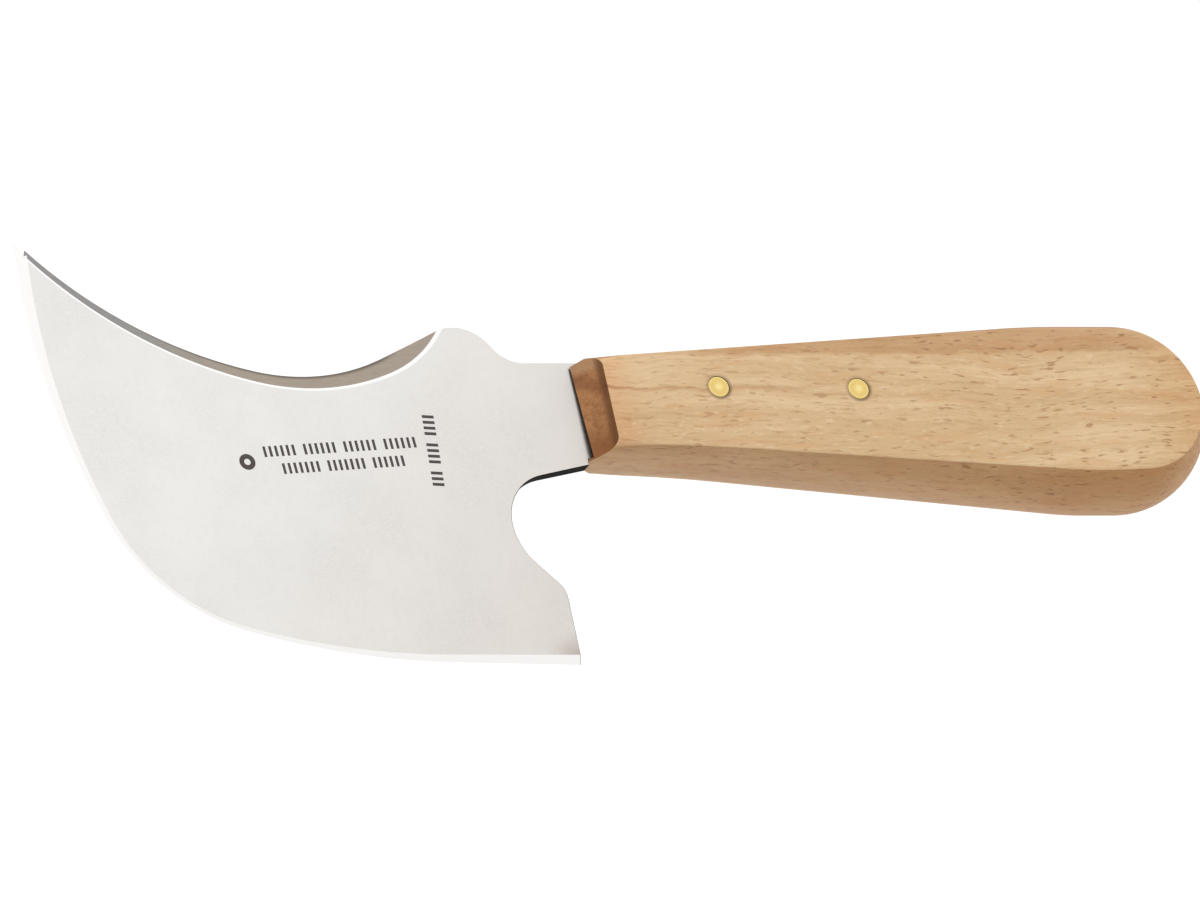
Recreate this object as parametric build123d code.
from build123d import *
from math import cos, radians, sin, sqrt
import os

# Quarter-moon head knife: a crescent steel blade whose tang runs inside a one-piece beech
# handle and is held there by two brass pins. All sizes are in millimetres.
#
# The pieces are drawn in a drafting frame: X runs along the knife, from the blade (-X) to the
# butt (+X), with X = 0 at the front of the handle; Y points from the cutting edge towards the
# back; Z is across the thickness, with Z = 0 at the blade's mid-plane. The finished pieces are
# then moved so that the origin is the middle of the underside of the knife's bounding box.
# Headings are in degrees, anticlockwise from +X.

# ---- outline of the blade
belly_stop = (-34.2, -46.65)        # where the belly arc of the cutting edge runs out straight
belly_radius = 143.0
corner_radius = 33.6                # tight part of the crescent
side_radius = 129.0                 # long side of the cutting edge, up to the tip
side_headings = (-94.8, -71.2)      # headings of the edge on its way down from the tip
corner_headings = (-71.2, -16.6)
belly_headings = (-16.6, -1.6)
heel = (-9.5, -47.3)                # lower end of the straight heel

hollow_lowest = (-50.7, 7.35)       # lowest point of the hollow back
hollow_radius = 38.0
hollow_headings = (-13.5, 23.8)     # where the hollow meets the tip's arc and the hump's rise
hump_radius = 7.9
hump_fall = -56.4                   # heading of the straight fall from the hump to the neck
hump_root = (-11.8, 9.6)            # corner between that fall and the top of the neck
hump_root_radius = 6.6

neck_bottom = -9.85
neck_depth = 1.6                    # how far the neck is let into the handle
neck_toe = (-0.1, -8.6)             # inner corner of the step below the part that is let in
notch_x = -17.0                     # deepest line of the finger notch
notch_top_y = -13.3
notch_low_y = -25.1
notch_exit = -47.5                  # heading of the notch where it runs out to the heel
notch_top_radius = 9.2
notch_low_radius = 10.8
heel_top_radius = 4.5

# ---- thickness of the blade
blade_thickness = 2.5
thinning_x = 0.0075                 # each face falls towards the tip by this per millimetre
thinning_y = 0.0105                 # and towards the cutting edge by this
edge_angle = 22.0                   # cutting bevel, measured from the mid-plane, each side
edge_land = 0.10
back_angle = 12.5                   # bevel along the hollow back, each side
back_land = 0.70
back_bevel_tip_lift = (0.5, 1.2)    # the back's bevel narrows towards the tip
back_bevel_end_x = -35.2            # and curves up out of the blade before the hump
back_bevel_end_radius = 19.0

# ---- tang
tang_length = 64.0
tang_front_y = (-3.6, 7.4)          # lowest and highest Y at the neck
tang_rear_y = (-1.8, 5.4)           # and at the far end
tang_end_radius = 2.0

# ---- handle
front_y = (-9.4, 9.5)               # belly and back at the front of the handle
rear_y = (-17.35, 15.6)             # and at the butt
belly_bend = (16.0, -9.7)          # the belly falls off faster behind this corner
belly_bend_radius = 300.0
shoulder_x = (93.7, 87.3)           # corners where belly and back turn parallel to X
shoulder_radius = (60.0, 175.0)
handle_length = 119.3
butt_radius = 16.4
front_thickness = 11.6
rear_thickness = 18.9
crown_radius = 14.5                 # rounding of belly, butt and back across the thickness
rim_depth = 7.0                     # depth of the crowned rim that is swept round the handle
core_inset = 5.5                    # the flat core starts inside the rim
nose_half_thickness = 1.6           # the front end is bevelled down to this, on both sides
nose_length = 4.1
nose_back_y = 8.6                   # and at the back to this Y
mouth_gap = (0.95, 0.35)            # gap between neck and wood at the belly and at the back
mouth_bottom = -8.9                 # the mouth is closed towards the belly

# ---- pins
pin_radius = 2.0
pin_places = {"pin_front": (25.0, 2.45), "pin_rear": (51.35, 1.7)}

margin = 12.0                       # run-out of cutting shapes past the knife
far = 400.0                         # larger than the whole knife


def direction(heading):
    """Unit vector at a heading."""
    return Vector(cos(radians(heading)), sin(radians(heading)))


def arc_point(start, radius, heading, end_heading):
    """Where a left-turning arc that starts with one heading has reached another."""
    return start + radius * (direction(end_heading - 90) - direction(heading - 90))


def left_arc(start, radius, heading, end_heading):
    """Left-turning arc from one heading to another."""
    middle = arc_point(start, radius, heading, (heading + end_heading) / 2)
    return ThreePointArc(start, middle, arc_point(start, radius, heading, end_heading))


def crossing(p, p_heading, q, q_heading):
    """Point where the line through p meets the line through q."""
    u, v, gap = direction(p_heading), direction(q_heading), q - p
    return p + u * ((gap.X * v.Y - gap.Y * v.X) / (u.X * v.Y - u.Y * v.X))


def face_of(*curves):
    """Flat face bounded by curves that join end to end, drawn anticlockwise."""
    face = make_face([edge for curve in curves for edge in curve.edges()]).face()
    return Face(face.outer_wire())


def plate(face, half_thickness):
    """Solid that reaches the same distance above and below a face at Z = 0."""
    return extrude(face, amount=half_thickness, both=True)


def under(point, normal):
    """Half space on the inner side of a plane, as a very large block."""
    return Plane(origin=point, z_dir=normal) * Pos(0, 0, -far / 2) * Box(far, far, far)


def both_sides(shape):
    """A shape joined to its mirror image below the mid-plane."""
    return shape + mirror(shape, about=Plane.XY)


def bevelled(face, land, angle):
    """Upper half of a plate whose rim is bevelled above a land."""
    rim = extrude(face, amount=land / 2)
    slope = extrude(face, amount=blade_thickness / 2, taper=90 - angle)
    return rim + Pos(0, 0, land / 2) * slope


# ---- corners of the blade, in order from the belly up to the tip and along the back
belly_end = Vector(*belly_stop)
belly_start = arc_point(belly_end, belly_radius, *reversed(belly_headings))
corner_start = arc_point(belly_start, corner_radius, *reversed(corner_headings))
tip = arc_point(corner_start, side_radius, *reversed(side_headings))
hollow_start = arc_point(Vector(*hollow_lowest), hollow_radius, 0, hollow_headings[0])
hollow_end = arc_point(Vector(*hollow_lowest), hollow_radius, 0, hollow_headings[1])
hump_corner = crossing(hollow_end, hollow_headings[1], Vector(*hump_root), hump_fall)
heel_top = crossing(Vector(notch_x, notch_low_y), notch_exit, Vector(*heel), 90)


def cutting_edge():
    """Edge from the tip down the side, round the corner and along the belly to the heel."""
    return [
        left_arc(tip, side_radius, *side_headings),
        left_arc(corner_start, corner_radius, *corner_headings),
        left_arc(belly_start, belly_radius, *belly_headings),
        Line(belly_end, heel),
    ]


def hollow_back(tip_end):
    """Back from the straight rise, through the hollow, out to a given point at the tip."""
    hollow = left_arc(hollow_start, hollow_radius, *hollow_headings)
    return [hollow, TangentArc(hollow_start, tip_end, tangent=-direction(hollow_headings[0]))]


def blade_outline():
    hump = FilletPolyline(
        hollow_end, hump_corner, hump_root, (neck_depth, hump_root[1]),
        radius=(hump_radius, hump_root_radius),
    )
    notch = FilletPolyline(
        heel, heel_top, (notch_x, notch_low_y), (notch_x, notch_top_y),
        (neck_toe[0], neck_bottom),
        radius=(heel_top_radius, notch_low_radius, notch_top_radius),
    )
    shoulder = Polyline(
        (neck_toe[0], neck_bottom), neck_toe, (neck_depth, neck_toe[1]),
        (neck_depth, hump_root[1]),
    )
    return face_of(*cutting_edge(), notch, shoulder, hump, *hollow_back(tip))


def edge_region():
    """Everything on the blade's side of the cutting edge."""
    above_tip = tip + direction(side_headings[0] + 180) * 2 * margin
    past_heel = Vector(*heel) + (Vector(*heel) - belly_end).normalized() * margin
    rest = Polyline(past_heel, (past_heel.X + margin, above_tip.Y), above_tip, tip)
    return face_of(*cutting_edge(), Line(heel, past_heel), rest)


def back_region():
    """Everything below the line that the bevel of the back follows."""
    lifted_tip = tip + Vector(*back_bevel_tip_lift)
    back = hollow_back(lifted_tip)
    past_tip = lifted_tip + (back[1] % 1) * 2 * margin
    rise = hollow_headings[1]
    bevel_end = crossing(hollow_end, rise, Vector(back_bevel_end_x, 0), 90)
    run_out = left_arc(bevel_end, back_bevel_end_radius, rise, 90)
    top = (run_out @ 1) + Vector(0, 2 * margin)
    rest = Polyline(
        run_out @ 1, top, (2 * margin, top.Y), (2 * margin, heel[1] - margin),
        (past_tip.X, heel[1] - margin), past_tip, lifted_tip,
    )
    return face_of(*back, Line(hollow_end, bevel_end), run_out, rest)


def tang():
    """Flat tang, tapering to a rounded end."""
    front = [(0, y) for y in tang_front_y]
    rear = [(tang_length, y) for y in tang_rear_y]
    outline = Polyline(front[1], front[0], rear[0], rear[1], close=True)
    ends = face_of(outline).vertices().group_by(Axis.X)[-1]
    return plate(fillet(ends, tang_end_radius), blade_thickness / 2)


def pin_bores():
    return [Pos(x, y) * Cylinder(pin_radius, far) for x, y in pin_places.values()]


def blade():
    face_normal = (-thinning_x, -thinning_y, 1)
    upper = extrude(blade_outline(), amount=blade_thickness / 2)
    upper &= under((0, 0, blade_thickness / 2), face_normal)
    upper &= bevelled(edge_region(), edge_land, edge_angle)
    upper &= bevelled(back_region(), back_land, back_angle)
    return both_sides(upper) + tang() - pin_bores()


# ---- handle
def side_plane():
    """Point and outward normal of the upper flat side, which falls towards the front."""
    slope = (rear_thickness - front_thickness) / 2 / handle_length
    return (0, 0, front_thickness / 2), (-slope, 0, 1)


def flat_sides():
    point, normal = side_plane()
    upper = under(point, normal)
    return upper & mirror(upper, about=Plane.XY)


def handle_rim_path(bent):
    """Line round the handle: back, butt and belly, with both ends run out past the front."""
    corners = [(shoulder_x[1], rear_y[1]), (handle_length, rear_y[1])]
    corners += [(handle_length, rear_y[0]), (shoulder_x[0], rear_y[0])]
    radii = [shoulder_radius[1], butt_radius, butt_radius, shoulder_radius[0]]
    if bent:
        corners.append(belly_bend)
        radii.append(belly_bend_radius)
    ends = []
    for side, corner in ((1, corners[0]), (0, corners[-1])):
        front = Vector(0, front_y[side])
        ends.append(front + (front - Vector(*corner)).normalized() * margin)
    return FilletPolyline(ends[0], *corners, ends[1], radius=tuple(radii))


def crowned_rim(path):
    """Rim with a rounded outer face, swept round the handle."""
    half = rear_thickness / 2 + 0.5
    fall = crown_radius - sqrt(crown_radius**2 - half**2)
    crown = ThreePointArc((fall, -half), (0, 0), (fall, half))
    inside = Polyline((fall, half), (rim_depth, half), (rim_depth, -half), (fall, -half))
    start = Plane(origin=path @ 0, x_dir=(0, -1, 0), z_dir=path % 0)
    return sweep(start * face_of(crown, inside), path=path)


def nose():
    """Bevels of the front end on both sides and at the back, down to a narrow nose."""
    point, normal = side_plane()
    height = point[2] - normal[0] * nose_length - nose_half_thickness
    upper = under((0, 0, nose_half_thickness), (-height, 0, nose_length))
    spread = (rear_y[1] - front_y[1]) / shoulder_x[1] * nose_length
    back = under((0, nose_back_y, 0), (nose_back_y - front_y[1] - spread, nose_length, 0))
    return upper & mirror(upper, about=Plane.XY) & back & under((0, 0, 0), (-1, 0, 0))


def slot_mouth():
    """Relieved mouth of the slot round the neck, wider towards the belly."""
    widening = (mouth_gap[1] - mouth_gap[0]) / (front_y[1] - front_y[0])
    corners = []
    for y in (mouth_bottom, front_y[1] + margin / 4):
        half = blade_thickness / 2 + mouth_gap[0] + widening * (y - front_y[0])
        corners.append((y, half))
    (low, low_half), (high, high_half) = corners
    outline = Polyline(
        (low, -low_half), (high, -high_half), (high, high_half), (low, low_half), close=True
    )
    return plate(Plane.YZ * face_of(outline), neck_depth)


def handle():
    straight = handle_rim_path(bent=False)
    core = offset(face_of(straight, Line(straight @ 1, straight @ 0)), amount=-core_inset)
    blank = crowned_rim(handle_rim_path(bent=True)) + plate(core, rear_thickness / 2 + 0.5)
    return (blank & flat_sides() & nose()) - tang() - slot_mouth() - pin_bores()


pieces = {"blade": blade(), "handle": handle()}
for name, (x, y) in pin_places.items():
    pieces[name] = Pos(x, y) * Cylinder(pin_radius, 2 * rear_thickness) & flat_sides()

box = Compound(list(pieces.values())).bounding_box()
shift = Vector(-box.center().X, -box.center().Y, -box.min.Z)
print("size", box.size, "shift", shift)

os.makedirs("parts", exist_ok=True)
for name, piece in pieces.items():
    export_step(Pos(shift) * piece, f"parts/{name}.step")
